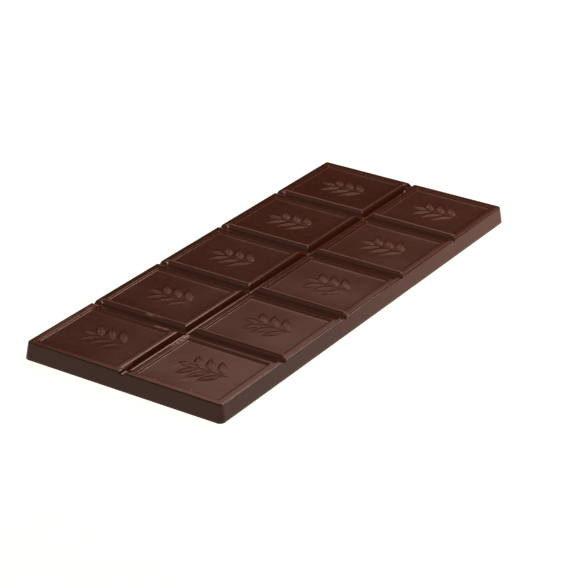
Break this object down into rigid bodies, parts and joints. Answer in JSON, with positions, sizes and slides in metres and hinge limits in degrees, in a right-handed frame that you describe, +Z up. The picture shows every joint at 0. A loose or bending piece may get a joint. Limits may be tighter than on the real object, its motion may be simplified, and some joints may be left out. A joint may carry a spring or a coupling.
{
  "type": "chocolate bar",
  "caption": "Flat dark chocolate bar: a drafted slab with V grooves between framed squares, each with a sunk panel and a low leaf sprig.",
  "frame": {"origin": "middle of the flat underside", "axes": "+X along the bar's length, +Y across it, +Z up out of the moulded side"},
  "size_m": [0.1798, 0.0758, 0.0062],
  "materials": {
    "dark_chocolate": "tempered dark chocolate from a smooth mould: satin gloss, near-black brown, faint scuffs"
  },
  "bodies": {
    "root": {"chocolate_bar": "dark_chocolate"}
  },
  "joints": []
}
